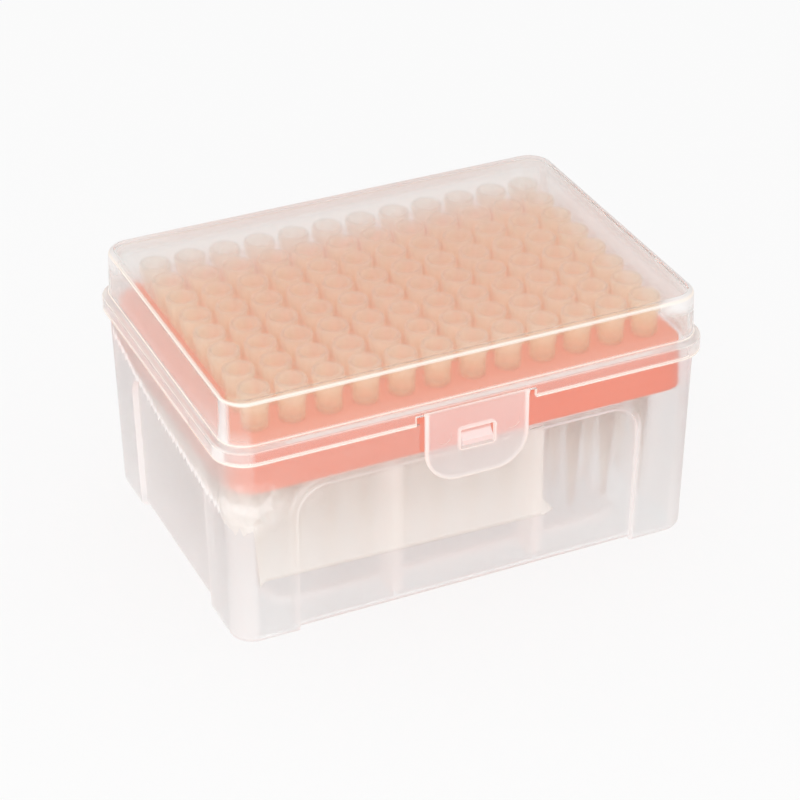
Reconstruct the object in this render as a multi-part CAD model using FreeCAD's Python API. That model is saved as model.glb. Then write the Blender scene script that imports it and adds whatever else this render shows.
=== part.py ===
import FreeCAD, Part

import math
import os

# Box of 96 pipette tips: a tapered tub, a hinged lid with a latch tab, a tip rack and the tips.
# Millimetres. Origin: centre of the underside. +X runs along the long side, -Y is the latch
# side, +Y the hinge side and +Z is up. The nodes are written with the lid shut.

# ---- driving dimensions ----
PITCH = 9.0  # spacing of the tip places
COLUMNS = 12
ROWS = 8

WALL = 1.2  # wall of the tub, the lid and the rack skirt
RIM_Z = 53.2  # top of the tub
RIM_HALF = (60.1, 42.15)  # half size of the tub at its rim
BASE_DRAFT = 1.05  # how much narrower each side is at the foot
RIM_CORNER = 6.8  # corner radius at the rim
FOOT_ROUND = 1.8

PANEL_DEPTH = 1.5  # recess of the arch panels in the four walls
PANEL_RADIUS = 7.5
LONG_PANEL_HALF = 43.7
SHORT_PANEL_HALF = 24.0
LEDGE_Z = 41.0  # ledge over the panels, which carries the rack

FLOOR = 1.3  # floor thickness
FLOOR_RAISE = 1.3  # the middle of the floor stands this much off the table
RAISED_HALF = (46.5, 30.5)
RAISED_CORNER = 6.0

RIB_X = 18.3  # inner ribs, either side of the middle
RIB_THICKNESS = 1.2
RIB_INNER_Y = 30.8

RACK_HALF = (56.9, 39.5)  # half size of the rack at its top
RACK_CORNER = 5.5
RACK_FLARE = 0.8  # how much wider the skirt is at its lower edge
RACK_TOP_Z = 53.2
RACK_PLATE = 1.5
HOLE_RADIUS = 2.85

TIP_TOP_Z = 62.4
TIP_END_Z = 9.4
TIP_SEAT_Z = RACK_TOP_Z

LID_TOP_Z = 66.0
LID_ROOF = 1.3
LID_HALF = (59.95, 41.95)  # half size of the lid wall at the shoulder
LID_DRAFT = 0.45
LID_CORNER = 6.6
SHOULDER_Z = 54.6  # where the lid wall turns out into the lip
LIP_EDGE_Z = 53.8
LIP_BOTTOM_Z = 50.3
LIP_STEP = 1.7  # how far the lip stands out from the lid wall
LIP_WALL = 1.1
LID_SEAT_Z = RIM_Z + 0.1

NOTCH_HALF_WIDTH = 15.15
NOTCH_TOP_Z = 52.6
LATCH_HALF_WIDTH = 13.1
LATCH_BOTTOM_Z = 33.8
LATCH_CORNER = 8.5
LATCH_THICKNESS = 1.2
WINDOW_HALF_WIDTH = 4.35
WINDOW_Z = (41.7, 46.9)
MARK_X = 8.65  # round moulding marks on the tab
MARK_Z = 46.1
MARK_RADIUS = 1.9

CATCH_HALF_WIDTH = 4.0
CATCH_Z = 42.3  # its flat underside holds the latch
CATCH_NOSE_Z = 43.5
CATCH_TOP_Z = 46.3
CATCH_FACE_Y = -43.9

HINGE_Y = 46.6
HINGE_Z = 50.4
HINGE_X = 36.0  # centre of each hinge, either side of the middle
BARREL_RADIUS = 2.4
BARREL_HALF = 4.85
EAR_INNER = 5.0
EAR_OUTER = 7.0
STUB_RADIUS = 1.2
STUB_LENGTH = 1.2
RUNNING_GAP = 0.05
HEEL_REACH = 4.45  # the heel's flat end stops on the back wall when the lid is fully open
LID_OPEN_DEG = 110.0

FILM_GAP = 0.05
FILM_THICKNESS = 0.25
FILM_TOP_Z = 49.9
FILM_STEP_X = -13.7  # left of here the film reaches up to the lip; the latch tab hides the step
FILM_STEP_Z = 40.8

FAR = 80.0  # beyond any part, for cutting tools


# ---- shared helpers ----
def vec(x, y, z):
    return FreeCAD.Vector(x, y, z)


def box(x0, x1, y0, y1, z0, z1):
    return Part.makeBox(x1 - x0, y1 - y0, z1 - z0, vec(x0, y0, z0))


def cylinder_x(radius, x0, x1, y, z):
    return Part.makeCylinder(radius, x1 - x0, vec(x0, y, z), vec(1, 0, 0))


def plate_x(points, x0, x1):
    """A plate of constant section in Y-Z, from x0 to x1."""
    corners = [vec(x0, y, z) for y, z in points]
    face = Part.Face(Part.makePolygon(corners + corners[:1]))
    return face.extrude(vec(x1 - x0, 0, 0))


def plate_y(points, y0, y1):
    """A plate of constant section in X-Z, from y0 to y1."""
    corners = [vec(x, y0, z) for x, z in points]
    face = Part.Face(Part.makePolygon(corners + corners[:1]))
    return face.extrude(vec(0, y1 - y0, 0))


def outline(points, rounds):
    """Edges through the vertices in turn, with vertex number i rounded to rounds[i]."""
    edges = []
    last = points[0]
    for index in range(1, len(points)):
        here = points[index]
        radius = rounds.get(index, 0.0)
        if radius == 0.0:
            edges.append(Part.makeLine(last, here))
            last = here
            continue
        back = (points[index - 1] - here).normalize()
        ahead = (points[index + 1] - here).normalize()
        half_angle = back.getAngle(ahead) / 2
        reach = radius / math.tan(half_angle)
        middle = (back + ahead).normalize()
        centre = here + middle * (radius / math.sin(half_angle))
        start = here + back * reach
        end = here + ahead * reach
        edges.append(Part.makeLine(last, start))
        edges.append(Part.Arc(start, centre - middle * radius, end).toShape())
        last = end
    return edges


def tub_body(half, corner, profile, rounds):
    """A filled body with a rounded-rectangle plan whose side follows a profile.

    profile lists (out, z) from bottom to top, where out is the distance outside the plain
    plan. Straight sides are extruded and each corner is a quarter of a turned body.
    """
    x_c = half[0] - corner
    y_c = half[1] - corner
    low = profile[0][1]
    high = profile[-1][1]
    points = [vec(0, 0, low)]
    points += [vec(corner + out, 0, z) for out, z in profile]
    points += [vec(0, 0, high)]
    edges = outline(points, {index + 1: radius for index, radius in rounds.items()})
    edges.append(Part.makeLine(points[-1], points[0]))
    section = Part.Face(Part.Wire(edges))
    pieces = [box(-x_c, x_c, -y_c, y_c, low, high)]
    for turn, across, along in ((0, x_c, y_c), (90, y_c, x_c), (180, x_c, y_c), (270, y_c, x_c)):
        side = section.translated(vec(across, -along, 0)).extrude(vec(0, 2 * along, 0))
        quarter = section.revolve(vec(0, 0, 0), vec(0, 0, 1), 90)
        quarter.translate(vec(across, along, 0))
        for piece in (side, quarter):
            piece.rotate(vec(0, 0, 0), vec(0, 0, 1), turn)
            pieces.append(piece)
    return pieces[0].multiFuse(pieces[1:]).removeSplitter()


def one_solid(shape, name):
    """The finished piece, which has to be one valid solid."""
    if len(shape.Solids) != 1 or not shape.isValid():
        raise ValueError(f"{name}: {len(shape.Solids)} solids, valid: {shape.isValid()}")
    return shape.Solids[0]


# ---- the base box ----
def tub_out(z, inward):
    """Distance of the tub's wall outside its rim plan at height z."""
    return -BASE_DRAFT * (1 - z / RIM_Z) - inward


def tub_shape(inward, low, high, foot):
    """The tapered tub, shrunk by inward, between two heights."""
    profile = [(tub_out(low, inward), low), (tub_out(high, inward), high)]
    return tub_body(RIM_HALF, RIM_CORNER, profile, {0: foot})


def arch_bar(half_width, top, radius):
    """A flat-topped arch that stands on the table, as a long bar along Y."""
    points = [
        vec(0, -FAR, -5),
        vec(-half_width, -FAR, -5),
        vec(-half_width, -FAR, top),
        vec(half_width, -FAR, top),
        vec(half_width, -FAR, -5),
        vec(0, -FAR, -5),
    ]
    edges = outline(points, {2: radius, 3: radius})
    return Part.Face(Part.Wire(edges)).extrude(vec(0, 2 * FAR, 0))


def arch_bars(grow):
    """The arches of the long and the short walls, crossed, grown by a distance."""
    top = LEDGE_Z - WALL + grow
    long_bar = arch_bar(LONG_PANEL_HALF + grow, top, PANEL_RADIUS + grow)
    short_bar = arch_bar(SHORT_PANEL_HALF + grow, top, PANEL_RADIUS + grow)
    short_bar.rotate(vec(0, 0, 0), vec(0, 0, 1), 90)
    return long_bar.fuse(short_bar)


def tub_outside():
    body = tub_shape(0.0, 0.0, RIM_Z, FOOT_ROUND)
    core = tub_shape(PANEL_DEPTH, 0.0, RIM_Z, FOOT_ROUND)
    return body.cut(arch_bars(0.0).cut(core))


def tub_cavity():
    above = RIM_Z + 4.0
    space = tub_shape(WALL, FLOOR, above, FOOT_ROUND - WALL)
    core = tub_shape(WALL + PANEL_DEPTH, FLOOR, above, FOOT_ROUND - WALL)
    return space.cut(arch_bars(WALL).cut(core))


def raised_floor():
    """The middle of the floor and the hollow under it."""
    top = FLOOR + FLOOR_RAISE
    block = tub_body(RAISED_HALF, RAISED_CORNER, [(0.3, FLOOR / 2), (0.0, top)], {1: 0.5})
    shrink = -WALL
    hollow = tub_body(RAISED_HALF, RAISED_CORNER, [(shrink + 0.3, -1.0), (shrink, FLOOR_RAISE)], {})
    return block, hollow


def ribs(outside):
    pieces = []
    for x in (-RIB_X, RIB_X):
        for side in (-1, 1):
            low_y, high_y = sorted((side * RIB_INNER_Y, side * FAR))
            x0 = x - RIB_THICKNESS / 2
            rib = box(x0, x0 + RIB_THICKNESS, low_y, high_y, FLOOR / 2, LEDGE_Z)
            pieces.append(rib.common(outside))
    return pieces


def catch():
    inside_wall = CATCH_FACE_Y + 2.6
    points = [
        (inside_wall, CATCH_Z),
        (CATCH_FACE_Y, CATCH_Z),
        (CATCH_FACE_Y, CATCH_NOSE_Z),
        (inside_wall, CATCH_TOP_Z),
    ]
    return plate_x(points, -CATCH_HALF_WIDTH, CATCH_HALF_WIDTH)


def hinge_ears():
    """Two ears with inward stub pins at each hinge, standing out under the lid's lip."""
    root_y = RIM_HALF[1] - 0.8
    under_lip = LIP_BOTTOM_Z - 0.5
    arm = [
        (root_y, HINGE_Z - 6.0),
        (root_y, under_lip),
        (HINGE_Y - 2.3, under_lip),
        (HINGE_Y, HINGE_Z),
        (HINGE_Y + BARREL_RADIUS * 0.9, HINGE_Z - 0.8),
    ]
    pieces = []
    for x in (-HINGE_X, HINGE_X):
        for side in (-1, 1):
            x0, x1 = sorted((x + side * EAR_INNER, x + side * EAR_OUTER))
            pieces.append(plate_x(arm, x0, x1))
            pieces.append(cylinder_x(BARREL_RADIUS, x0, x1, HINGE_Y, HINGE_Z))
            stub_tip = x + side * (EAR_INNER - STUB_LENGTH)
            s0, s1 = sorted((stub_tip, x + side * EAR_INNER))
            pieces.append(cylinder_x(STUB_RADIUS, s0, s1, HINGE_Y, HINGE_Z))
    return pieces


def base_box():
    outside = tub_outside()
    block, hollow = raised_floor()
    shell = outside.cut(tub_cavity())
    pieces = [block, catch()] + ribs(outside) + hinge_ears()
    return one_solid(shell.multiFuse(pieces).cut(hollow).removeSplitter(), "base_box")


# ---- the lid ----
def lid_outside():
    profile = [
        (LIP_STEP, LIP_BOTTOM_Z),
        (LIP_STEP, LIP_EDGE_Z),
        (0.0, SHOULDER_Z),
        (-LID_DRAFT, LID_TOP_Z),
    ]
    return tub_body(LID_HALF, LID_CORNER, profile, {1: 0.8, 2: 1.1, 3: 1.6})


def lid_cavity():
    skirt = LIP_STEP - LIP_WALL
    profile = [
        (skirt, LIP_BOTTOM_Z - 2.0),
        (skirt, LID_SEAT_Z),
        (-WALL, LID_SEAT_Z),
        (-WALL - LID_DRAFT, LID_TOP_Z - LID_ROOF),
    ]
    return tub_body(LID_HALF, LID_CORNER, profile, {3: 1.0})


def latch_axis_y():
    """The tab hangs flush with the outside of the lip."""
    return -(LID_HALF[1] + LIP_STEP)


def latch_notch():
    """The gap in the front of the lip, with the groove that the tab's round root turns in."""
    inner_y = -(LID_HALF[1] + LIP_STEP - LIP_WALL)
    gap = box(
        -NOTCH_HALF_WIDTH, NOTCH_HALF_WIDTH, -FAR, inner_y, LIP_BOTTOM_Z - 2.0, NOTCH_TOP_Z
    )
    radius = LATCH_THICKNESS / 2 + RUNNING_GAP
    length = LATCH_HALF_WIDTH + 0.3
    groove = cylinder_x(radius, -length, length, latch_axis_y(), NOTCH_TOP_Z)
    return gap.fuse(groove)


def polar(radius, degrees):
    """A point (y, z) about the hinge axis, at an angle from +Y towards +Z."""
    angle = math.radians(degrees)
    return (HINGE_Y + radius * math.cos(angle), HINGE_Z + radius * math.sin(angle))


def hinge_barrels():
    """A barrel, an arm to the lip and a stop heel at each hinge."""
    lip_y = LID_HALF[1] + LIP_STEP - 0.6
    arm = [
        (lip_y, LIP_EDGE_Z - 2.2),
        (lip_y, LIP_EDGE_Z - 0.2),
        (HINGE_Y, HINGE_Z + BARREL_RADIUS - 0.05),
        (HINGE_Y - 1.0, HINGE_Z + 0.4),
    ]
    heel_angle = 180.0 + LID_OPEN_DEG
    ahead = 18.0
    behind = 6.0
    heel = [
        (HINGE_Y, HINGE_Z),
        polar(BARREL_RADIUS, heel_angle - 26),
        polar(HEEL_REACH / math.cos(math.radians(behind)), heel_angle - behind),
        polar(HEEL_REACH / math.cos(math.radians(ahead)), heel_angle + ahead),
        polar(BARREL_RADIUS, heel_angle + 34),
    ]
    pieces = []
    for x in (-HINGE_X, HINGE_X):
        x0 = x - BARREL_HALF
        x1 = x + BARREL_HALF
        pieces.append(plate_x(arm, x0, x1))
        pieces.append(plate_x(heel, x0, x1))
        pieces.append(cylinder_x(BARREL_RADIUS, x0, x1, HINGE_Y, HINGE_Z))
    return pieces


def barrel_bores():
    """Blind bores in the barrel ends, which the stub pins run in."""
    radius = STUB_RADIUS + RUNNING_GAP
    depth = BARREL_HALF - EAR_INNER + STUB_LENGTH + 0.2
    bores = []
    for x in (-HINGE_X, HINGE_X):
        for side in (-1, 1):
            x0, x1 = sorted((x + side * BARREL_HALF, x + side * (BARREL_HALF - depth)))
            bores.append(cylinder_x(radius, x0, x1, HINGE_Y, HINGE_Z))
    return bores


def lid():
    shell = lid_outside().cut(lid_cavity()).cut(latch_notch())
    body = shell.multiFuse(hinge_barrels())
    for bore in barrel_bores():
        body = body.cut(bore)
    return one_solid(body.removeSplitter(), "lid")


# ---- the latch tab ----
def latch_tab():
    """A window flap whose full-round upper edge is the hinge."""
    outer_y = latch_axis_y() - LATCH_THICKNESS / 2
    inner_y = latch_axis_y() + LATCH_THICKNESS / 2
    side = LATCH_HALF_WIDTH
    points = [
        vec(-side, outer_y, NOTCH_TOP_Z),
        vec(-side, outer_y, LATCH_BOTTOM_Z),
        vec(side, outer_y, LATCH_BOTTOM_Z),
        vec(side, outer_y, NOTCH_TOP_Z),
        vec(-side, outer_y, NOTCH_TOP_Z),
    ]
    face = Part.Face(Part.Wire(outline(points, {1: LATCH_CORNER, 2: LATCH_CORNER})))
    flap = face.extrude(vec(0, inner_y - outer_y, 0))
    rim = [
        edge
        for edge in flap.Edges
        if edge.BoundBox.YLength < 0.01 and edge.BoundBox.ZMin < NOTCH_TOP_Z - 0.1
    ]
    flap = flap.makeFillet(0.4, rim)
    window = box(
        -WINDOW_HALF_WIDTH, WINDOW_HALF_WIDTH, outer_y - 1, inner_y + 1, WINDOW_Z[0], WINDOW_Z[1]
    )
    window = window.makeFillet(0.4, [e for e in window.Edges if e.BoundBox.YLength > 1.0])
    root = cylinder_x(LATCH_THICKNESS / 2, -side, side, latch_axis_y(), NOTCH_TOP_Z)
    flap = flap.fuse(root).cut(window)
    for x in (-MARK_X, MARK_X):
        mark = Part.makeCylinder(MARK_RADIUS, 0.15, vec(x, outer_y, MARK_Z), vec(0, 1, 0))
        flap = flap.cut(mark)
    return one_solid(flap.removeSplitter(), "latch_tab")


# ---- the tip rack ----
def tip_places(column):
    """Centres of the eight tips of a column."""
    x = PITCH * (column - (COLUMNS - 1) / 2)
    return [(x, PITCH * (row - (ROWS - 1) / 2)) for row in range(ROWS)]


def tip_rack():
    under_plate = RACK_TOP_Z - RACK_PLATE
    outside = tub_body(
        RACK_HALF, RACK_CORNER, [(RACK_FLARE, LEDGE_Z), (0.0, RACK_TOP_Z)], {1: 0.7}
    )
    inside = tub_body(
        RACK_HALF, RACK_CORNER, [(RACK_FLARE - WALL, LEDGE_Z - 1.0), (-WALL, under_plate)], {1: 0.5}
    )
    holes = [
        Part.makeCylinder(HOLE_RADIUS, RACK_PLATE + 2, vec(x, y, under_plate - 1))
        for column in range(COLUMNS)
        for x, y in tip_places(column)
    ]
    rack = outside.cut(inside).cut(Part.makeCompound(holes))
    return one_solid(rack, "tip_rack")


# ---- the pipette tips ----
def tip():
    """A hollow tip on the Z axis: flared collar, seat on the rack and a long taper."""
    outside = [
        (0.55, TIP_END_Z),
        (1.65, 27.0),
        (2.45, 42.0),
        (2.7, TIP_SEAT_Z),
        (3.2, TIP_SEAT_Z),
        (3.22, 57.4),
        (3.74, 59.8),
        (3.8, TIP_TOP_Z),
    ]
    inside = [
        (2.9, TIP_TOP_Z),
        (2.55, 55.0),
        (1.95, 42.0),
        (1.15, 27.0),
        (0.25, TIP_END_Z),
    ]
    points = [vec(r, 0, z) for r, z in outside + inside]
    points.append(points[0])
    rounds = {2: 6.0, 5: 1.5, 6: 2.0, 7: 0.35}
    section = Part.Face(Part.Wire(outline(points, rounds)))
    return one_solid(section.revolve(vec(0, 0, 0), vec(0, 0, 1), 360), "tip")


def tips_column(column, model):
    return Part.makeCompound([model.translated(vec(x, y, 0)) for x, y in tip_places(column)])


# ---- the sealing film ----
def sealing_tape():
    """A thin film on the left wall of the tub, round the front corner and along the front wall.

    It was stuck on by hand: its edges slope, it steps down to pass below the catch, and it stops
    just past the second front rib.
    """
    low = 10.0
    outer = tub_shape(-FILM_GAP - FILM_THICKNESS, low, FILM_TOP_Z, 0.0)
    inner = tub_shape(-FILM_GAP, low - 1.0, FILM_TOP_Z + 1.0, 0.0)
    side = [
        (34.5, 52.0),
        (34.5, 43.6),
        (20.0, 39.6),
        (5.0, 36.6),
        (-15.0, 34.9),
        (-FAR, 33.6),
        (-FAR, 52.0),
    ]
    corner = [(-FAR, 33.6), (-53.0, 34.0), (-53.0, 52.0), (-FAR, 52.0)]
    front = [
        (-53.9, 17.5),
        (18.9, 15.5),
        (21.4, 16.6),
        (18.4, 20.4),
        (18.2, FILM_STEP_Z),
        (FILM_STEP_X, FILM_STEP_Z),
        (FILM_STEP_X, 52.0),
        (-53.9, 52.0),
    ]
    corner_x = -(RIM_HALF[0] - RIM_CORNER)
    corner_y = -(RIM_HALF[1] - RIM_CORNER)
    region = plate_x(side, -FAR, corner_x).common(plate_y(corner, -FAR, FAR))
    region = region.fuse(plate_y(corner, -FAR, corner_y)).fuse(plate_y(front, -FAR, corner_y))
    return one_solid(outer.cut(inner).common(region).removeSplitter(), "sealing_tape")


# ---- write the nodes ----
os.makedirs("parts", exist_ok=True)

nodes = {
    "base_box": base_box(),
    "lid": lid(),
    "latch_tab": latch_tab(),
    "tip_rack": tip_rack(),
    "sealing_tape": sealing_tape(),
}
one_tip = tip()
for number in range(COLUMNS):
    nodes[f"tips_column_{number + 1:02d}"] = tips_column(number, one_tip)

for name, shape in nodes.items():
    shape.exportStep(f"parts/{name}.step")
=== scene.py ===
import math
import random
from bisect import bisect_right

import bmesh
import bpy
from mathutils import Matrix, Vector, noise


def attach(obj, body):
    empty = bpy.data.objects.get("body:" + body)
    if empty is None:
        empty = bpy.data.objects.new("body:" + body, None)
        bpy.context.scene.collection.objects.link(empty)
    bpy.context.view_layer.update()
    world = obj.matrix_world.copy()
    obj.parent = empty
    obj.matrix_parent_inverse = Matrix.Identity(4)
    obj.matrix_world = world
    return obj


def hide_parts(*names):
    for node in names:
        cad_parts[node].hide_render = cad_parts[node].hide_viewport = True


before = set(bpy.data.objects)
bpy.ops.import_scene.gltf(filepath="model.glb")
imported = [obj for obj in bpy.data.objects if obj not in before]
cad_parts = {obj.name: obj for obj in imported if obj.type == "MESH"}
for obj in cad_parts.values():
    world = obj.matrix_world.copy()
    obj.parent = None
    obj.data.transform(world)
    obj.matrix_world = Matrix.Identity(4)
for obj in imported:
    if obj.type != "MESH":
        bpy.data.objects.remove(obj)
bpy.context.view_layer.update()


# ---- base box ----
# The tapered tub is injection moulded in natural polypropylene, with arch panels set into its
# four walls, inner ribs and a raised floor. Its skin is hazy, and it turns milky wherever the
# plastic is thick or seen edge on: at corners, ribs, steps and fillets. Part of that milk is
# painted
# light: the pale lines on fillets, steps and ribs and the white corners are painted highlights, the
# lower walls carry painted light, and a clearer band under the lid's lip is painted shade.
MM = 0.001
ARCH_HALF = (43.7 * MM, 24.0 * MM)  # half width of the arches in the long and the short walls
ARCH_TOP = 39.8 * MM
ARCH_ROUND = 7.5 * MM
ARCH_LINE = 0.5 * MM  # half width of the pale line that outlines an arch
RIB_X = 18.3 * MM
RIB_GLOW = 2.1 * MM  # half width of the milky band in the wall where a rib joins it
FLOOR_STEP = (46.0 * MM, 30.0 * MM)  # half size of the raised middle of the floor
FLOOR_STEP_LINE = 1.4 * MM
# Each pair is a stretch, in metres, over which a mask rises from 0 to 1.
OUTER_SKIN = {"long": (37.5 * MM, 38.5 * MM), "end": (55.0 * MM, 56.5 * MM)}
WEB_SKIN = (36.0 * MM, 37.0 * MM)
INSIDE_ARCH = {"long": (46.0 * MM, 46.5 * MM), "end": (26.5 * MM, 27.0 * MM)}
ROOM = ((48.0 * MM, 49.0 * MM), (32.0 * MM, 33.0 * MM))
RIBS_END = (25.0 * MM, 30.0 * MM)
ABOVE_FLOOR = (3.0 * MM, 4.0 * MM)
FLOOR_STEP_UP = ((2.0 * MM, 2.4 * MM), (2.7 * MM, 2.9 * MM))
LEDGE_UP = ((39.0 * MM, 39.5 * MM), (41.5 * MM, 42.0 * MM))
WEBS_UP = (38.0 * MM, 39.5 * MM)
CATCH_HALF = (3.5 * MM, 4.0 * MM)
CATCH_FRONT = (-42.8 * MM, -42.4 * MM)
FOOT_UP = (1.2 * MM, 2.0 * MM)
LOW_UP = (2.0 * MM, 30.0 * MM)
UNDER_LIP_UP = (49.5 * MM, 50.5 * MM)
BESIDE_RACK_UP = (36.0 * MM, 42.0 * MM)


class Wire:
    """A value in a shader tree; arithmetic on it adds Math nodes."""

    def __init__(self, finish, socket):
        self.finish = finish
        self.socket = socket

    def maths(self, operation, *values):
        return self.finish.node("Math", {"operation": operation}, dict(enumerate(values)))

    def __add__(self, other):
        return self.maths("ADD", self, other)

    def __radd__(self, other):
        return self.maths("ADD", other, self)

    def __sub__(self, other):
        return self.maths("SUBTRACT", self, other)

    def __rsub__(self, other):
        return self.maths("SUBTRACT", other, self)

    def __mul__(self, other):
        return self.maths("MULTIPLY", self, other)

    def __rmul__(self, other):
        return self.maths("MULTIPLY", other, self)

    def __abs__(self):
        return self.maths("ABSOLUTE", self)

    def __pow__(self, power):
        return self.maths("POWER", self, power)

    def above(self, level):
        return self.maths("MAXIMUM", self, level)

    def below(self, level):
        return self.maths("MINIMUM", self, level)

    def clipped(self):
        return self.finish.node("Clamp", {}, {"Value": self})

    def rising(self, low, high):
        """0 below low, 1 above high and a smooth step between."""
        return self.finish.node(
            "MapRange",
            {"interpolation_type": "SMOOTHSTEP"},
            {"Value": self, "From Min": low, "From Max": high},
        )

    def near(self, level, reach):
        """1 at level, falling to 0 at the distance reach on either side."""
        return 1.0 - abs(self - level).rising(reach * 0.5, reach)


class Finish:
    """A shader tree, with one method that adds any node to it."""

    def __init__(self, name, kind="materials"):
        self.owner = getattr(bpy.data, kind).new(name)
        self.owner.use_nodes = True
        self.tree = self.owner.node_tree
        self.tree.nodes.clear()

    def node(self, kind, settings=None, values=None, out=0):
        made = self.tree.nodes.new("ShaderNode" + kind)
        for key, value in (settings or {}).items():
            setattr(made, key, value)
        for key, value in (values or {}).items():
            if isinstance(value, Wire):
                self.tree.links.new(value.socket, made.inputs[key])
            else:
                made.inputs[key].default_value = value
        return Wire(self, made.outputs[out]) if made.outputs else None

    def parts(self, vector):
        """The x, y and z of a vector."""
        made = self.node("SeparateXYZ", values={0: vector}).socket.node
        return [Wire(self, made.outputs[i]) for i in range(3)]

    def place(self):
        """Object coordinates in metres, whole and in three parts."""
        spot = self.node("TexCoord", out="Object")
        return spot, self.parts(spot)

    def facing(self):
        """The three parts of the surface normal."""
        return self.parts(self.node("NewGeometry", out="Normal"))

    def mixed(self, share, first, second):
        """A colour between two colours."""
        return self.node("Mix", {"data_type": "RGBA"}, {0: share, 6: first, 7: second}, out=2)

    def blended(self, share, first, second):
        """A shader between two shaders."""
        return self.node("MixShader", {}, {0: share, 1: first, 2: second})

    def noise(self, spot, scale, detail=2.0, roughness=0.5, stretch=(1, 1, 1)):
        if stretch != (1, 1, 1):
            spot = self.node("Mapping", values={"Vector": spot, "Scale": stretch})
        return self.node(
            "TexNoise",
            {},
            {"Vector": spot, "Scale": scale, "Detail": detail, "Roughness": roughness},
        )

    def rays(self, *names):
        """1 for the named kinds of ray and 0 for the rest."""
        node = self.node("LightPath").socket.node
        kinds = [Wire(self, node.outputs[f"Is {name} Ray"]) for name in names]
        found = kinds[0]
        for kind in kinds[1:]:
            found = found.above(kind)
        return found

    def shown(self, shader, output="OutputMaterial"):
        self.node(output, values={"Surface": shader})
        return self.owner


def moulded_plastic(name, colour, ends, milk, painted_line_highlight, haze, blur, ior, thick, glow):
    """Natural polypropylene: clear enough to see through, milky where it is thick.

    colour is that of the long walls and ends that of the end walls; the difference between them is
    painted light and shade, end walls lighter or darker for how the light falls on them. haze is
    the milky share of each skin, and blur the roughness of what passes through. thick gives the
    share that fillets and steps add, and the share that edges and ribs add, where the path in the
    wall is long. milk is the colour of the first, and painted_line_highlight that of the second, a
    paler tint that is a painted highlight along those edges and ribs. glow is the share of the milk
    that is lit from behind.
    """
    f = Finish(name)
    spot, _ = f.place()
    flow = f.noise(spot, 60, 3.0, 0.55, (1, 1, 0.35))
    cloud = f.noise(spot, 420, 2.0)
    slant = f.node("LayerWeight", {}, {"Blend": 0.5}, out="Facing")
    skin = haze * (0.75 + 0.5 * flow) * (1.0 + 0.8 * slant * slant) + 0.6 * slant ** 8.0
    extra, lines = thick(f)
    milky = (skin + extra + lines).clipped()
    # The paler tint of the lines is a painted highlight.
    tint = f.mixed((lines * 2.0).clipped(), milk, painted_line_highlight)
    grain = f.noise(spot, 900, 3.0, 0.6)
    height = grain + 2.0 * flow
    relief = f.node("Bump", {}, {"Strength": 0.08, "Distance": 0.3 * MM, "Height": height})
    # The end walls get their own tint: painted light and shade by side.
    tone = f.mixed(abs(f.facing()[0]).rising(0.6, 0.9), colour, ends)
    clear = f.node(
        "BsdfPrincipled",
        {},
        {
            "Base Color": tone,
            "Roughness": blur * (0.85 + 0.3 * cloud),
            "IOR": ior,
            "Transmission Weight": 1.0,
            "Coat Weight": 0.2,
            "Coat Roughness": 0.2,
            "Normal": relief,
        },
    )
    lit = f.node("BsdfDiffuse", {}, {"Color": tint, "Normal": relief})
    through = f.node("BsdfTranslucent", {}, {"Color": tint, "Normal": relief})
    body = f.blended(milky, clear, f.blended(glow, lit, through))
    open_air = f.node("BsdfTransparent", {}, {"Color": (0.985, 0.984, 0.983, 1)})
    return f.shown(f.blended(f.rays("Shadow", "Diffuse"), body, open_air))


def carried(node, name, material, corner=32.0):
    """A smooth-shaded copy of a CAD node, with edges sharper than the corner angle kept crisp."""
    mesh = bpy.data.meshes.new(name)
    shape = bmesh.new()
    shape.from_mesh(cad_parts[node].data)
    bmesh.ops.remove_doubles(shape, verts=shape.verts, dist=1e-6)
    for face in shape.faces:
        face.smooth = True
    for line in shape.edges:
        if len(line.link_faces) == 2:
            line.smooth = line.calc_face_angle() < math.radians(corner)
    shape.to_mesh(mesh)
    shape.free()
    mesh.materials.append(material)
    piece = bpy.data.objects.new(name, mesh)
    bpy.context.scene.collection.objects.link(piece)
    weight = piece.modifiers.new("even_shading", "WEIGHTED_NORMAL")
    weight.keep_sharp = True
    return piece


def distance_to_arch(across, up, half):
    """Signed distance to the outline of an arch that stands on the table."""
    side = abs(across) - (half - ARCH_ROUND)
    top = up - (ARCH_TOP - ARCH_ROUND)
    outside = (side.above(0.0) ** 2.0 + top.above(0.0) ** 2.0) ** 0.5
    return outside + side.above(top).below(0.0) - ARCH_ROUND


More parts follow.
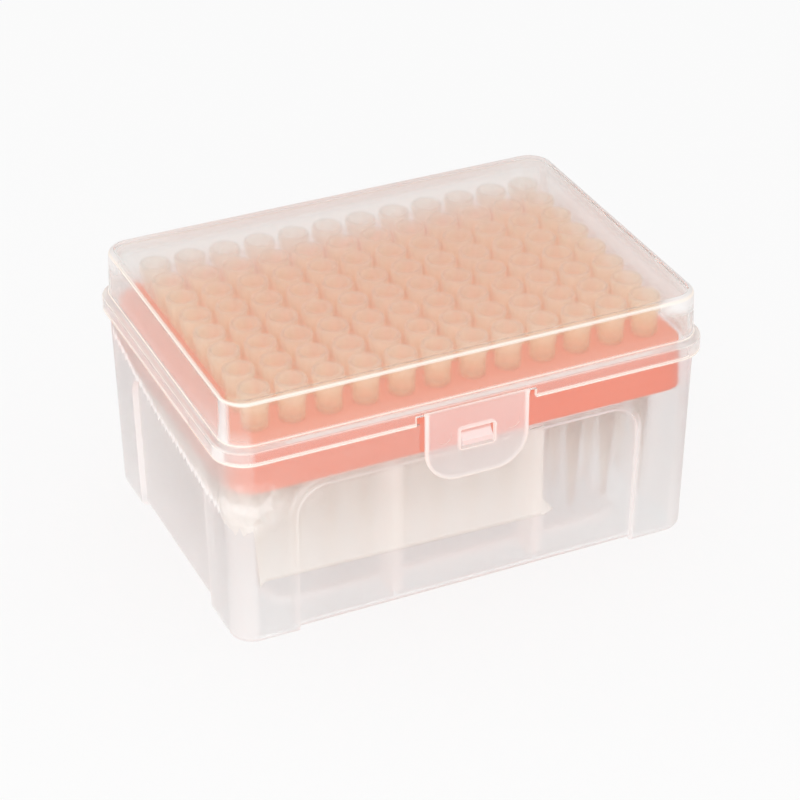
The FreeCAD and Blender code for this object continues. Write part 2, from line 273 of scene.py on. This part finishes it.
def thick_in_tub(f):
    """Corners and fillets, then the ribs, the steps round the arches and in the floor."""
    nx, ny, nz = f.facing()
    _, (x, y, z) = f.place()
    slanted = 4.0 * abs(nz) * (1.0 - abs(nz))
    corner = (2.0 * abs(nx) * abs(ny)).rising(0.02, 0.4)
    ribs = abs(nx).rising(0.8, 0.95) * (1.0 - abs(x).rising(*RIBS_END))
    over_floor = z.rising(*ABOVE_FLOOR)
    steps = []
    for wall, across, away, facing, half in (
        ("long", x, y, ny, ARCH_HALF[0]),
        ("end", y, x, nx, ARCH_HALF[1]),
    ):
        outline = distance_to_arch(across, z, half).near(0.0, ARCH_LINE)
        side = (1.0 - abs(facing).rising(0.4, 0.8)) * (1.0 - abs(across).rising(*INSIDE_ARCH[wall]))
        on_skin = abs(away).rising(*OUTER_SKIN[wall])
        steps.append(on_skin * (0.4 * outline + 0.9 * side * over_floor))
    ledge = abs(nz).rising(0.5, 0.9) * z.rising(*LEDGE_UP[0]) * (1.0 - z.rising(*LEDGE_UP[1]))
    room = (1.0 - abs(x).rising(*ROOM[0])) * (1.0 - abs(y).rising(*ROOM[1]))
    step_edge = abs(y).near(FLOOR_STEP[1], FLOOR_STEP_LINE)
    step_edge = step_edge.above(abs(x).near(FLOOR_STEP[0], FLOOR_STEP_LINE))
    step_edge = step_edge * z.rising(*FLOOR_STEP_UP[0])
    raised = (1.0 - abs(nz).rising(0.3, 0.8)).above(step_edge)
    raised = raised * (1.0 - z.rising(*FLOOR_STEP_UP[1])) * room
    webs = abs(x).near(RIB_X, RIB_GLOW) * abs(ny).rising(0.8, 0.95) * over_floor
    webs = webs * abs(y).rising(*WEB_SKIN) * (1.0 - z.rising(*WEBS_UP)) * 0.35
    catch = (1.0 - abs(x).rising(*CATCH_HALF)) * (1.0 - y.rising(*CATCH_FRONT)) * 0.8
    foot = 1.0 - z.rising(*FOOT_UP)
    foot_rim = 0.4 * foot * (1.0 - abs(nz).rising(0.8, 0.95))
    # Painted light: milk rises low on the walls, most on the end walls, to lighten them; painted
    # shade: less milk in the band just under the lid's lip.
    low = (1.0 - z.rising(*LOW_UP)) * (0.08 + 0.28 * abs(nx)) - 0.06 * z.rising(*UNDER_LIP_UP)
    # Painted highlight, with real milk where the plastic is thick: whiter corners, less so beside
    # the rack, and milky fillets along the edges.
    bend = corner * (0.5 - 0.4 * z.rising(*BESIDE_RACK_UP))
    extra = slanted * (0.4 + 0.4 * foot) + bend + ledge * 0.6 + low + foot_rim
    # Ribs, steps, raised floor, webs and catch are milky where the plastic is thick, in the painted
    # highlight tint.
    return extra, ribs + steps[0] + steps[1] + raised + webs + catch


box_finish = moulded_plastic(
    "hazy_polypropylene",
    # The slightly lighter end walls are painted light, and the near-white line tint a painted
    # highlight.
    colour=(0.965, 0.969, 0.970, 1),
    ends=(0.975, 0.978, 0.978, 1),
    milk=(0.93, 0.943, 0.943, 1),
    painted_line_highlight=(0.99, 0.988, 0.985, 1),
    haze=0.095,
    blur=0.305,
    ior=1.22,
    thick=thick_in_tub,
    glow=0.5,
)
tub = carried("base_box", "tub", box_finish)
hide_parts("base_box")
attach(tub, "base")


# ---- tip rack ----
# A satin salmon polypropylene tray with a skirt, moulded in one piece. It rests on the ledges
# and rib tops of the tub, and the tips hang in its ninety-six holes.
# The paler plate is painted light from above.
PLATE_UP = (52.0 * MM, 53.1 * MM)  # from the top of the skirt to the plate, which is paler


def rack_plastic():
    f = Finish("salmon_polypropylene")
    spot, (_, _, z) = f.place()
    flow = f.noise(spot, 45, 3.0)
    grain = f.noise(spot, 1400, 2.0)
    skirt = f.mixed(flow, (0.90, 0.165, 0.058, 1), (0.93, 0.195, 0.072, 1))
    # Painted light: the plate's top is a paler salmon for the light from above.
    painted_lit_plate = f.mixed(flow, (0.99, 0.355, 0.21, 1), (1.0, 0.385, 0.23, 1))
    colour = f.mixed(z.rising(*PLATE_UP), skirt, painted_lit_plate)
    relief = f.node("Bump", {}, {"Strength": 0.3, "Distance": 0.1 * MM, "Height": grain})
    skin = f.node(
        "BsdfPrincipled",
        {},
        {"Base Color": colour, "Roughness": 0.38 + 0.1 * grain, "IOR": 1.49, "Normal": relief},
    )
    glow = f.node("BsdfTranslucent", {}, {"Color": colour})
    return f.shown(f.blended(0.25, skin, glow))


rack = carried("tip_rack", "rack", rack_plastic())
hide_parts("tip_rack")
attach(rack, "base")


# ---- pipette tips ----
# Each tip is a hollow taper of natural polypropylene with a flared collar. Ninety-six of them
# hang from the rack by their shoulders, in twelve columns of eight, each leaning a little in
# its hole.
PITCH = 9.0 * MM
TIP_COLUMNS = 12
TIP_ROWS = 8
TIP_SEAT = 53.2  # height of the shoulder, on the rack
TIP_LEAN = 0.3  # degrees
TIP_OUTSIDE = [
    (0.55, 9.4), (1.1, 18.2), (1.65, 27.0), (2.05, 34.5), (2.44, 41.6), (2.49, 43.0), (2.7, 53.2),
    (3.05, 53.2), (3.06, 56.4), (3.15, 57.8), (3.45, 59.4), (3.66, 60.3), (3.76, 61.2),
    (3.78, 62.1), (3.7, 62.35), (3.5, 62.4),
]
TIP_INSIDE = [(3.0, 62.4), (2.88, 62.2), (2.55, 55.0), (1.95, 42.0), (1.15, 27.0), (0.25, 9.4)]
TIP_SEGMENTS = 26
# Stretches of height over which the colour of a tip changes.
SHANK_UP = (10.0 * MM, 42.0 * MM)
UNDER_PLATE_UP = (43.0 * MM, 48.0 * MM)
SEAT_UP = (53.2 * MM, 55.2 * MM)
BODY_UP = (56.0 * MM, 63.0 * MM)
COLLAR_UP = (57.0 * MM, 59.5 * MM)
RIM_UP = (61.9 * MM, 62.3 * MM)
# Painted light: the tips in these rear rows are painted whiter and clearer, for the light through
# the lid's back wall.
REAR_ROWS = (18.0 * MM, 34.0 * MM)  # these tips have less salmon round them to pick up


def tip_plastic():
    f = Finish("natural_polypropylene")
    spot, (_, y, z) = f.place()
    cloud = f.noise(spot, 250, 2.0)
    shade = f.node("Attribute", {"attribute_name": "shade"}, out="Fac")
    edge = f.node("LayerWeight", {}, {"Blend": 0.35}, out="Facing")
    collar = z.rising(*COLLAR_UP)
    rim = z.rising(*RIM_UP)
    foot = 1.0 - z.rising(*SEAT_UP)
    behind = y.rising(*REAR_ROWS)
    high = z.rising(*UNDER_PLATE_UP)
    # Painted light: the warm salmon tint is light bounced from the rack, fading up the collar and
    # at the rim; cloud and shade vary it at random.
    painted_rack_glow_and_tone = (1.0 - 0.4 * z.rising(*BODY_UP)) * (0.7 + 0.4 * cloud + 0.2 * shade)
    painted_rack_glow_and_tone = (painted_rack_glow_and_tone - 0.15 * rim - 0.12 * collar).clipped()
    above = f.mixed(painted_rack_glow_and_tone, (0.985, 0.90, 0.74, 1), (0.98, 0.76, 0.51, 1))
    # Painted light: the seat turns salmon, for the rack's light scattered into it.
    above = f.mixed(foot * 0.6, above, (0.98, 0.46, 0.29, 1))
    # Painted light: the rear rows are whiter.
    above = f.mixed(behind * 0.65, above, (0.93, 0.90, 0.86, 1))
    # Painted shade: below the rack the tips darken to grey towards the plate, lighter towards their
    # ends.
    below = f.mixed(z.rising(*SHANK_UP), (0.93, 0.91, 0.88, 1), (0.64, 0.60, 0.545, 1))
    colour = f.mixed(high, below, above)
    skin = f.node(
        "BsdfPrincipled", {}, {"Base Color": colour, "Roughness": 0.28 + 0.1 * cloud, "IOR": 1.4}
    )
    glow = f.node("BsdfTranslucent", {}, {"Color": colour})
    clear = f.node("BsdfTransparent", {}, {"Color": (0.998, 0.99, 0.975, 1)})
    shaded_below = f.node("BsdfTransparent", {}, {"Color": (0.985, 0.972, 0.950, 1)})
    shaded_above = f.node("BsdfTransparent", {}, {"Color": (0.978, 0.932, 0.882, 1)})
    shaded = f.blended(high, shaded_below, shaded_above)
    share = (0.34 + 0.12 * collar + 0.42 * edge ** 2.0) * (1.0 - 0.4 * behind) + 0.45 * foot
    body = f.blended(share.clipped(), clear, f.blended(0.6, skin, glow))
    return f.shown(f.blended(f.rays("Shadow", "Diffuse"), body, shaded))


def turned(name, section, segments, material):
    """A closed turned mesh from (radius, height) pairs in millimetres."""
    shape = bmesh.new()
    rings = []
    for radius, height in section:
        turns = [2 * math.pi * step / segments for step in range(segments)]
        spots = [(radius * math.cos(turn), radius * math.sin(turn), height) for turn in turns]
        rings.append([shape.verts.new(Vector(spot) * MM) for spot in spots])
    rings.append(rings[0])
    for low, high in zip(rings, rings[1:]):
        for step in range(segments):
            after = (step + 1) % segments
            shape.faces.new((low[step], low[after], high[after], high[step]))
    bmesh.ops.recalc_face_normals(shape, faces=shape.faces)
    for face in shape.faces:
        face.smooth = True
    mesh = bpy.data.meshes.new(name)
    shape.to_mesh(mesh)
    shape.free()
    mesh.materials.append(material)
    return bpy.data.objects.new(name, mesh)


class Rule:
    """A Geometry Nodes tree with named inputs, whose result becomes a plain mesh."""

    def __init__(self, name):
        self.tree = bpy.data.node_groups.new(name, "GeometryNodeTree")
        self.tree.interface.new_socket(
            "Geometry", in_out="OUTPUT", socket_type="NodeSocketGeometry"
        )
        self.entry = self.tree.nodes.new("NodeGroupInput")
        self.values = {}

    def input(self, name, kind, value):
        made = self.tree.interface.new_socket(name, in_out="INPUT", socket_type="NodeSocket" + kind)
        self.values[made.identifier] = value
        return self.entry.outputs[name]

    def node(self, kind, settings=None, values=None, out=0):
        made = self.tree.nodes.new(kind)
        for key, value in (settings or {}).items():
            setattr(made, key, value)
        for key, value in (values or {}).items():
            if isinstance(value, bpy.types.NodeSocket):
                self.tree.links.new(value, made.inputs[key])
            else:
                made.inputs[key].default_value = value
        return made.outputs[out]

    def grown(self, name, result):
        """Evaluates the tree once and gives the mesh as a new object."""
        exit_node = self.tree.nodes.new("NodeGroupOutput")
        self.tree.links.new(result, exit_node.inputs[0])
        seed = bpy.data.objects.new(name + "_seed", bpy.data.meshes.new(name + "_seed"))
        bpy.context.scene.collection.objects.link(seed)
        modifier = seed.modifiers.new("rule", "NODES")
        modifier.node_group = self.tree
        for identifier, value in self.values.items():
            modifier[identifier] = value
        graph = bpy.context.evaluated_depsgraph_get()
        mesh = bpy.data.meshes.new_from_object(seed.evaluated_get(graph), depsgraph=graph)
        mesh.name = name
        bpy.data.objects.remove(seed)
        piece = bpy.data.objects.new(name, mesh)
        bpy.context.scene.collection.objects.link(piece)
        return piece


natural = tip_plastic()
profile = [(radius, height - TIP_SEAT) for radius, height in TIP_OUTSIDE + TIP_INSIDE]
one_tip = turned("tip", profile, TIP_SEGMENTS, natural)

rule = Rule("tips_in_a_grid")
tip_in = rule.input("Tip", "Object", one_tip)
pitch_in = rule.input("Pitch", "Float", PITCH)
columns_in = rule.input("Columns", "Int", TIP_COLUMNS)
rows_in = rule.input("Rows", "Int", TIP_ROWS)
seat_in = rule.input("Seat height", "Float", TIP_SEAT * MM)
lean_in = rule.input("Lean", "Float", math.radians(TIP_LEAN))
seed_in = rule.input("Seed", "Int", 7)


def spread(count):
    """Length of a row of places."""
    gaps = rule.node("ShaderNodeMath", {"operation": "SUBTRACT"}, {0: count, 1: 1.0})
    return rule.node("ShaderNodeMath", {"operation": "MULTIPLY"}, {0: gaps, 1: pitch_in})


grid = rule.node(
    "GeometryNodeMeshGrid",
    {},
    {
        "Size X": spread(columns_in),
        "Size Y": spread(rows_in),
        "Vertices X": columns_in,
        "Vertices Y": rows_in,
    },
)
lift = rule.node("ShaderNodeCombineXYZ", {}, {"Z": seat_in})
raised_grid = rule.node("GeometryNodeSetPosition", {}, {"Geometry": grid, "Offset": lift})
swing = rule.node(
    "FunctionNodeRandomValue",
    {"data_type": "FLOAT_VECTOR"},
    {0: (-1.0, -1.0, 0.0), 1: (1.0, 1.0, 0.0), "Seed": seed_in},
)
leaning = rule.node("ShaderNodeVectorMath", {"operation": "SCALE"}, {0: swing, "Scale": lean_in})
tip_shape = rule.node("GeometryNodeObjectInfo", {}, {"Object": tip_in}, out="Geometry")
hung = rule.node(
    "GeometryNodeInstanceOnPoints",
    {},
    {"Points": raised_grid, "Instance": tip_shape, "Rotation": leaning},
)
tint = rule.node(
    "FunctionNodeRandomValue", {"data_type": "FLOAT"}, {2: 0.0, 3: 1.0, "Seed": seed_in}, out=1
)
named = rule.node(
    "GeometryNodeStoreNamedAttribute",
    {"data_type": "FLOAT", "domain": "INSTANCE"},
    {"Geometry": hung, "Name": "shade", "Value": tint},
)
real = rule.node("GeometryNodeRealizeInstances", {}, {"Geometry": named})
painted = rule.node("GeometryNodeSetMaterial", {}, {"Geometry": real, "Material": natural})
tips = rule.grown("tips", painted)
bpy.data.objects.remove(one_tip)
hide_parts(*[f"tips_column_{column + 1:02d}" for column in range(TIP_COLUMNS)])
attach(tips, "base")


# ---- lid ----
# The lid is moulded in clearer polypropylene than the tub. Its rounded top edge, the shoulder,
# the lip that overlaps the tub's rim and the notch ends show as pale cream lines: milky plastic
# where it is thick, with a painted highlight in their cream tint and their strength.
NOTCH_X = 15.15 * MM  # the notch ends of the lip, on either side of the tab
NOTCH_LINE = 2.0 * MM
# Stretches over which the masks rise, upwards and then towards the front, the back and the end.
LIP_UP = ((50.6 * MM, 50.9 * MM), (53.4 * MM, 53.8 * MM), (54.2 * MM, 55.0 * MM))
VEIL_UP = (54.5 * MM, 59.0 * MM)
END_VEIL_UP = (53.0 * MM, 64.0 * MM)
TOP_UP = (60.5 * MM, 64.0 * MM)
END_VEIL_BACK = (-41.0 * MM, -12.0 * MM)
ROOF_BACK = (5.0 * MM, 42.0 * MM)
REAR_BACK = (28.0 * MM, 36.0 * MM)
REAR_SIDE = (46.0 * MM, 54.0 * MM)


def thick_in_lid(f):
    """Corners, shoulder and the veil over the walls and the roof, then the edges."""
    nx, ny, nz = f.facing()
    _, (x, y, z) = f.place()
    slanted = 4.0 * abs(nz) * (1.0 - abs(nz))
    turning = 2.0 * abs(nx) * abs(ny)
    corner = turning.rising(0.0, 0.6)
    # Painted highlight: a pale strip down the vertical corners, on their end-wall side.
    bend = turning.rising(0.02, 0.35) * abs(nx).rising(0.80, 0.92)
    under = 1.0 - z.rising(*LIP_UP[0])
    lip = 1.0 - z.rising(*LIP_UP[2])
    shoulder = lip * z.rising(*LIP_UP[1])
    front = abs(ny).rising(0.8, 0.95)
    end_veil = abs(nx).rising(0.8, 0.95) * (1.0 - y.rising(*END_VEIL_BACK))
    veil = (1.0 - z.rising(*VEIL_UP)) * (0.04 + 0.06 * abs(nx) + 0.1 * corner)
    # Painted light: the back of the roof is milkier, for the light that comes in through the lid's
    # back wall.
    veil = veil + abs(nz).rising(0.9, 0.98) * y.rising(*ROOF_BACK) * 0.14
    veil = veil + end_veil * (1.0 - z.rising(*END_VEIL_UP)) * 0.20
    rear = y.rising(*REAR_BACK).above(x.rising(*REAR_SIDE))
    rear_edge = rear * slanted.rising(0.01, 0.10) * z.rising(*TOP_UP)
    notch = abs(nx).rising(0.5, 0.9) * abs(x).near(NOTCH_X, NOTCH_LINE)
    # Painted highlight: the sloped shoulder of the lip is a milky band.
    extra = corner * 0.06 + bend * 0.45 + veil + front * 0.02 + shoulder * 0.24 + rear_edge
    # Painted highlights, with real milk where the plastic is thick: the rounded top edge, the lip's
    # lower edge and the notch ends, in the cream line tint.
    return extra, slanted ** 7.0 * (0.8 - 0.55 * lip) + under * 0.7 + notch * 0.7


lid_finish = moulded_plastic(
    "clear_polypropylene",
    # The grey milk and the darker pink end walls are painted shade on the lid's walls; the cream
    # line tint is a painted highlight.
    colour=(0.962, 0.955, 0.942, 1),
    ends=(0.955, 0.910, 0.893, 1),
    milk=(0.88, 0.89, 0.88, 1),
    painted_line_highlight=(0.985, 0.955, 0.885, 1),
    haze=0.05,
    blur=0.19,
    ior=1.27,
    thick=thick_in_lid,
    glow=0.3,
)
cover = carried("lid", "cover", lid_finish)
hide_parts("lid")
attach(cover, "lid")


# ---- latch tab ----
# The tab hangs from the lip in front of the notch, and its window snaps over the catch. It is
# milky, with a raised rim round its outline and its window, painted pale as a painted highlight,
# like its edges.
TAB_HALF = 13.1 * MM
TAB_FOOT = 33.8 * MM
TAB_ROUND = 8.5 * MM
TAB_TALL = 60.0 * MM  # more than the tab has, so that only its lower corners are round
WINDOW_HALF = 4.35 * MM
WINDOW_HEIGHTS = (41.7 * MM, 46.9 * MM)
WINDOW_ROUND = 0.6 * MM
OUTLINE_RIM = (-1.0 * MM, -0.5 * MM)  # distance from the outline, negative inside it
WINDOW_RIM = (0.25 * MM, 0.55 * MM)
TAB_LOW_UP = (36.0 * MM, 44.0 * MM)


def distance_to_box(across, up, half, low, high, corner):
    """Signed distance to a box with rounded corners, in the plane of the tab."""
    side = abs(across) - (half - corner)
    end = abs(up - (low + high) / 2) - ((high - low) / 2 - corner)
    outside = (side.above(0.0) ** 2.0 + end.above(0.0) ** 2.0) ** 0.5
    return outside + side.above(end).below(0.0) - corner


def thick_in_tab(f):
    """The lower part of the flap, then its edges and the rims round outline and window."""
    _, ny, _ = f.facing()
    _, (x, _, z) = f.place()
    outline = distance_to_box(x, z, TAB_HALF, TAB_FOOT, TAB_FOOT + TAB_TALL, TAB_ROUND)
    window = distance_to_box(x, z, WINDOW_HALF, *WINDOW_HEIGHTS, WINDOW_ROUND)
    rim = outline.rising(*OUTLINE_RIM)
    frame_line = 1.0 - window.rising(*WINDOW_RIM)
    low = 1.0 - z.rising(*TAB_LOW_UP)
    # Painted highlight, with real milk where the plastic is thick: the edges and the rims round
    # outline and window, in the pale line tint.
    edge = (1.0 - abs(ny)).rising(0.05, 0.6)
    return low * 0.12, edge * 0.5 + (rim + frame_line).below(1.0) * 0.7


tab_finish = moulded_plastic(
    "latch_polypropylene",
    colour=(0.985, 0.98, 0.978, 1),
    ends=(0.985, 0.98, 0.978, 1),
    milk=(0.90, 0.89, 0.885, 1),
    painted_line_highlight=(0.985, 0.97, 0.94, 1),
    haze=0.30,
    blur=0.34,
    ior=1.2,
    thick=thick_in_tab,
    glow=0.4,
)
tab = carried("latch_tab", "tab", tab_finish)
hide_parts("latch_tab")
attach(tab, "latch")


# ---- sealing film ----
# A strip of clear adhesive film, a little yellow, was stuck round the tub by hand: along the
# left wall under the lip, round the front corner, where it is crumpled, and along the front
# wall to just past the second rib. Its cut edge on the left wall is serrated.
FILM_STAND_OFF = (0.08, 0.22)  # distance of its two faces from the wall
RIM_HALF = (60.1, 42.15)
RIM_ROUND = 6.8
RIM_HEIGHT = 53.2
WALL_SLOPE = 1.05 / RIM_HEIGHT
ARC = RIM_ROUND * math.pi / 2
# Stations run along the wall from the left end of the corner's arc, backwards on the left wall
# and forwards on the arc and the front wall.
REAR_END = -69.85
LOWER_EDGE = [
    (REAR_END, 43.6), (-55.35, 39.6), (-40.35, 36.6), (-20.35, 34.9), (0.0, 33.7),
    (ARC - 1.4, 34.0), (ARC - 0.2, 17.5), (ARC + 72.2, 15.5), (ARC + 74.7, 16.6),
]
UPPER_EDGE = [
    (REAR_END, 49.9), (ARC + 39.5, 49.9), (ARC + 39.7, 40.9), (ARC + 71.4, 40.9),
    (ARC + 71.7, 20.4), (ARC + 74.7, 16.7),
]
FILM_SPLIT = 34.6  # rows of faces follow this height round the corner
FINE_STEP, FINE_END = 0.3, ARC + 4.0  # spacing of stations, and where it widens to one
FRONT_STATIONS = 67
LOW_ROWS, ROWS = 14, 42
TOOTH_PITCH, TOOTH_HEIGHT = 2.4, 1.8
TOOTH_SIZES = (0.6, 1.2)
CUT_END = 2.0  # the serration fades out over this first stretch of the corner's arc
RAGGED_AT, RAGGED_REACH = ARC * 0.6, 5.5
RAGGED_DROP = (2.2, 2.5)
CRUMPLE_AT = (ARC - 2.0, 37.6)
CRUMPLE_REACH = (10.0, 8.0)
CRUMPLE_CELLS = (0.36, 0.30)
CRUMPLE_OUT = 1.3
# Painted light: the film is milkier below this height and paler still towards the bottom.
WALL_MILK_UP = (38.0 * MM, 42.0 * MM)  # the film is milky where no rack shows behind it
LOW_MILK_UP = (14.0 * MM, 36.0 * MM)


def along(table, station):
    """The height that a table of (station, height) pairs gives at a station."""
    index = min(max(bisect_right([row[0] for row in table], station), 1), len(table) - 1)
    (before, low), (after, high) = table[index - 1], table[index]
    share = min(max((station - before) / (after - before), 0.0), 1.0)
    return low + (high - low) * share


def on_wall(station, height, out):
    """The point at a distance outside the tub's wall."""
    reach = RIM_ROUND - WALL_SLOPE * (RIM_HEIGHT - height) + out
    turn = min(max(station / ARC, 0.0), 1.0) * math.pi / 2
    centre = Vector((-(RIM_HALF[0] - RIM_ROUND), -(RIM_HALF[1] - RIM_ROUND), height))
    centre.y -= min(station, 0.0)
    centre.x += max(station - ARC, 0.0)
    return (centre + Vector((-math.cos(turn), -math.sin(turn), 0.0)) * reach) * MM


def film_plastic():
    f = Finish("clear_film")
    spot, (_, _, z) = f.place()
    flow = f.noise(spot, 90, 3.0, 0.6, (0.3, 0.3, 1))
    # pale is a painted highlight along the cut lower edge, and paler facets in the crumple.
    pale = f.node("Attribute", {"attribute_name": "pale"}, out="Fac")
    clear = f.node(
        "BsdfPrincipled",
        {},
        {
            "Base Color": (0.992, 0.980, 0.955, 1),
            "Roughness": 0.32 + 0.045 * flow,
            "IOR": 1.4,
            "Transmission Weight": 1.0,
        },
    )
    colour = f.mixed(pale, (0.99, 0.973, 0.945, 1), (0.99, 0.985, 0.975, 1))
    lit = f.node("BsdfDiffuse", {}, {"Color": colour})
    through = f.node("BsdfTranslucent", {}, {"Color": colour})
    # Painted light: more milk low on the film and below the rack's band.
    low = 1.0 - z.rising(*LOW_MILK_UP)
    wall = 1.0 - z.rising(*WALL_MILK_UP)
    milky = (0.02 + 0.06 * flow + 0.11 * wall + 0.10 * low + 0.9 * pale).clipped()
    body = f.blended(milky, clear, f.blended(0.2, lit, through))
    open_air = f.node("BsdfTransparent", {}, {"Color": (0.995, 0.985, 0.97, 1)})
    return f.shown(f.blended(f.rays("Shadow", "Diffuse"), body, open_air))


def film_stations():
    """Close together round the corner and on the serrated part, with one at each bend."""
    fine = round((FINE_END - REAR_END) / FINE_STEP)
    stations = [REAR_END + FINE_STEP * step for step in range(fine)]
    stations += [FINE_END + step for step in range(FRONT_STATIONS)]
    stations += [ARC + ahead for ahead in (39.5, 39.7, 71.4, 71.7, 72.2, 73.4, 74.6)]
    return sorted(stations)


def lower_edge(station, teeth):
    """Height of the lower edge with its teeth and rags, and how far the serration counts."""
    tooth = (station - REAR_END) / TOOTH_PITCH
    wave = abs(2.0 * (tooth % 1.0) - 1.0) * teeth[int(tooth) % len(teeth)]
    cut = min(max((CUT_END - station) / CUT_END, 0.0), 1.0)
    ragged = max(0.0, 1.0 - ((station - RAGGED_AT) / RAGGED_REACH) ** 2)
    rags = RAGGED_DROP[0] + RAGGED_DROP[1] * noise.noise(Vector((station * 0.9, 0.0, 5.0)))
    return along(LOWER_EDGE, station) + TOOTH_HEIGHT * wave * cut - ragged * rags, cut


def crumple(station, height):
    """How far the film stands off in the crumple, and how pale it is there."""
    across = (station - CRUMPLE_AT[0]) / CRUMPLE_REACH[0]
    up = (height - CRUMPLE_AT[1]) / CRUMPLE_REACH[1]
    amount = max(0.0, 1.0 - (across * across + up * up))
    cell = Vector((station * CRUMPLE_CELLS[0], height * CRUMPLE_CELLS[1], 2.0))
    reach, hearts = noise.voronoi(cell)
    tone = abs(noise.cell(hearts[0] * 9.0)) ** 2
    return CRUMPLE_OUT * reach[0] * amount, amount * (0.07 + 0.34 * tone)


def film_mesh():
    """A grid between the lower and the upper edge, with a face on each side of the film."""
    draw = random.Random(3)
    teeth = [draw.uniform(*TOOTH_SIZES) for _ in range(60)]
    stations = film_stations()
    shape = bmesh.new()
    pale = shape.verts.layers.float.new("pale")
    sides = []
    for stand_off in FILM_STAND_OFF:
        columns = []
        for station in stations:
            low, cut = lower_edge(station, teeth)
            high = along(UPPER_EDGE, station)
            split = low + (high - low) * min(max((FILM_SPLIT - low) / (high - low), 0.06), 0.94)
            column = []
            for row in range(ROWS + 1):
                if row < LOW_ROWS:
                    height = low + (split - low) * row / LOW_ROWS
                else:
                    height = split + (high - split) * (row - LOW_ROWS) / (ROWS - LOW_ROWS)
                out, crumpled = crumple(station, height)
                point = shape.verts.new(on_wall(station, height, stand_off + out))
                # Painted highlight along the cut lower edge, strongest where it is serrated.
                rim = min(1.0, max(0.0, 1.5 - (height - low) / (0.5 + 0.9 * cut)))
                point[pale] = min(1.0, max(rim * (0.15 + 0.85 * cut), crumpled))
                column.append(point)
            columns.append(column)
        sides.append(columns)
    inner, outer = sides
    last = len(stations) - 1
    for i in range(last):
        for j in range(ROWS):
            for side, flip in ((outer, False), (inner, True)):
                loop = [side[i][j], side[i + 1][j], side[i + 1][j + 1], side[i][j + 1]]
                shape.faces.new(reversed(loop) if flip else loop)
        for j in (0, ROWS):
            shape.faces.new((inner[i][j], inner[i + 1][j], outer[i + 1][j], outer[i][j]))
    for i in (0, last):
        for j in range(ROWS):
            shape.faces.new((inner[i][j], inner[i][j + 1], outer[i][j + 1], outer[i][j]))
    bmesh.ops.recalc_face_normals(shape, faces=shape.faces)
    for face in shape.faces:
        face.smooth = True
    mesh = bpy.data.meshes.new("film")
    shape.to_mesh(mesh)
    shape.free()
    return mesh


film = bpy.data.objects.new("film", film_mesh())
bpy.context.scene.collection.objects.link(film)
film.data.materials.append(film_plastic())
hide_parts("sealing_tape")
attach(film, "base")


# ---- stage ----
# A white table that runs on as a white backdrop, under an even white sky with one soft lamp at
# the front left, which adds to the pale lines along the box's edges; those lines are also painted
# highlights in the plastics.
STAGE_WHITE = (0.955, 0.955, 0.955, 1)
STAGE_SHARE = 0.88  # share of plain white in the table; the rest takes the box's shadow
FLOOR_HALF = 3.0


def stage_paint():
    f = Finish("stage_white")
    white = f.node("Emission", {}, {"Color": STAGE_WHITE})
    paint = f.node("BsdfDiffuse", {}, {"Color": STAGE_WHITE})
    share = STAGE_SHARE * f.rays("Camera", "Glossy", "Transmission")
    return f.shown(f.blended(share, paint, white))


floor_mesh = bpy.data.meshes.new("floor")
corners = [(x * FLOOR_HALF, y * FLOOR_HALF, 0) for x, y in ((-1, -1), (1, -1), (1, 1), (-1, 1))]
floor_mesh.from_pydata(corners, [], [(0, 1, 2, 3)])
floor_mesh.materials.append(stage_paint())
floor = bpy.data.objects.new("floor", floor_mesh)
bpy.context.scene.collection.objects.link(floor)

sky = Finish("studio", "worlds")
light = sky.node("Background", {}, {"Color": (1, 1, 1, 1), "Strength": 1.0})
seen = sky.node("Background", {}, {"Color": STAGE_WHITE, "Strength": 1.0})
bpy.context.scene.world = sky.shown(
    sky.blended(sky.rays("Camera", "Transmission"), light, seen), "OutputWorld"
)


def lamp(name, place, target, size, power):
    data = bpy.data.lights.new(name, "AREA")
    data.shape = "RECTANGLE"
    data.size, data.size_y = size
    data.energy = power
    made = bpy.data.objects.new(name, data)
    made.location = place
    made.rotation_euler = (Vector(target) - Vector(place)).to_track_quat("-Z", "Y").to_euler()
    bpy.context.scene.collection.objects.link(made)


lamp("key", (-0.25, -0.39, 0.25), (0, 0, 0.035), (0.35, 0.35), 0.78)

azimuth, elevation, roll = (math.radians(angle) for angle in (-24.5554, 31.6699, 0.2304))
CAMERA_TARGET = Vector((-0.564, -2.648, 30.716))
CAMERA_DISTANCE = 640.49
back = Vector(
    (
        math.sin(azimuth) * math.cos(elevation),
        -math.cos(azimuth) * math.cos(elevation),
        math.sin(elevation),
    )
)
camera_data = bpy.data.cameras.new("camera")
camera_data.lens = 118.67
camera_data.sensor_width = 36.0
camera_data.clip_end = 50.0
camera = bpy.data.objects.new("camera", camera_data)
camera.location = (CAMERA_TARGET + back * CAMERA_DISTANCE) * MM
camera.rotation_mode = "QUATERNION"
level = (-back).to_track_quat("-Z", "Y")
camera.rotation_quaternion = level @ Matrix.Rotation(-roll, 3, "Z").to_quaternion()
bpy.context.scene.collection.objects.link(camera)
bpy.context.scene.camera = camera

scene = bpy.context.scene
scene.view_settings.view_transform = "Standard"
scene.cycles.transparent_max_bounces = 48
scene.cycles.max_bounces = 24
scene.cycles.diffuse_bounces = 8
scene.cycles.transmission_bounces = 24
